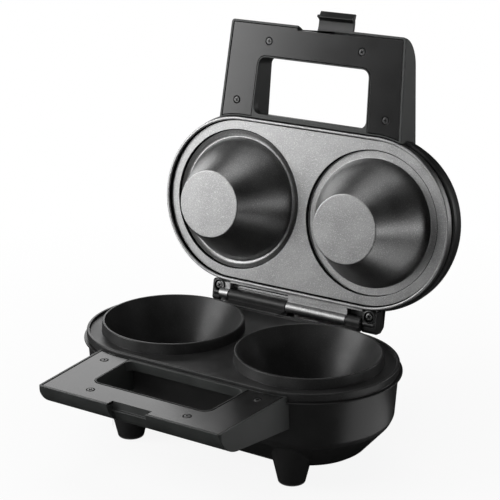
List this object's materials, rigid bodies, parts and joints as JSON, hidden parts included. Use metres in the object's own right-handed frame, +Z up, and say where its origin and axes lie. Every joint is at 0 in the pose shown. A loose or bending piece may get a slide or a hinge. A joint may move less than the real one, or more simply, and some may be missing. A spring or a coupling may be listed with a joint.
{
  "type": "waffle bowl maker",
  "caption": "Countertop cooker that bakes waffle bowls: deep cups in a base on legs, matching cones in a hinged lid, front handles with finger openings and a swing latch.",
  "frame": {"origin": "on the table, under the point midway between the moulds", "axes": "+X to the user's right along the row of moulds, +Y to the back towards the hinge, +Z up; the lid rests open"},
  "size_m": [0.2614, 0.2896, 0.3113],
  "materials": {
    "housing_plastic": "satin black heat-resistant plastic",
    "handle_plastic": "satin black heat-resistant plastic",
    "cover_plastic": "polished black plastic",
    "lower_casting": "dark non-stick coating",
    "upper_casting": "speckled grey non-stick coating",
    "pin_steel": "plain steel",
    "screw_steel": "zinc plated",
    "black_screw_steel": "blackened steel",
    "bolt_steel": "zinc plated",
    "heater_steel": "oxidised steel sheath",
    "strap_steel": "plain steel strip",
    "shield_sheet": "mill finish sheet",
    "terminal_plastic": "off-white moulding",
    "thermostat_steel": "pressed cap",
    "fuse_case": "plated case",
    "gland_plastic": "black moulding",
    "pad_rubber": "matt",
    "red_lens": "clear red",
    "green_lens": "clear green",
    "lamp_glass": "clear",
    "latch_plastic": "satin black plastic"
  },
  "bodies": {
    "base": {"base_housing": "housing_plastic", "lower_plate": "lower_casting", "lower_heater": "heater_steel", "lower_heater_clamps": "strap_steel", "lower_plate_screws": "screw_steel", "lower_heat_shield": "shield_sheet", "shield_retainers": "strap_steel", "thermostat": "thermostat_steel", "thermal_fuse": "fuse_case", "fuse_clip": "strap_steel", "terminal_block": "terminal_plastic", "terminal_screws": "screw_steel", "cable_gland": "gland_plastic", "gland_nut": "gland_plastic", "foot_pads": "pad_rubber", "base_screws": "bolt_steel", "hinge_pin": "pin_steel", "lower_handle_shell": "handle_plastic", "lower_handle_cover": "cover_plastic", "lower_cover_screws": "black_screw_steel", "lower_handle_bolts": "bolt_steel"},
    "lid": {"lid_housing": "housing_plastic", "upper_plate": "upper_casting", "upper_heater": "heater_steel", "upper_heater_clamps": "strap_steel", "upper_plate_screws": "screw_steel", "upper_heat_shield": "shield_sheet", "power_light": "red_lens", "ready_light": "green_lens", "lamp_holders": "terminal_plastic", "indicator_lamps": "lamp_glass", "upper_handle_shell": "handle_plastic", "upper_handle_cover": "cover_plastic", "upper_cover_screws": "black_screw_steel", "upper_handle_bolts": "bolt_steel", "hinge_covers": "housing_plastic", "ear_screws": "screw_steel", "latch_pin": "pin_steel"},
    "latch": {"latch": "latch_plastic"}
  },
  "joints": [
    {"name": "lid_hinge", "type": "hinge", "parent": "base", "child": "lid", "pos_m": [0, 0.0786, 0.0832], "axis": [1, 0, 0], "range_deg": [0, 98.5]},
    {"name": "latch_pivot", "type": "hinge", "parent": "lid", "child": "latch", "pos_m": [0, 0.12143, 0.28519], "axis": [1, 0, 0], "range_deg": [0, 94]}
  ]
}
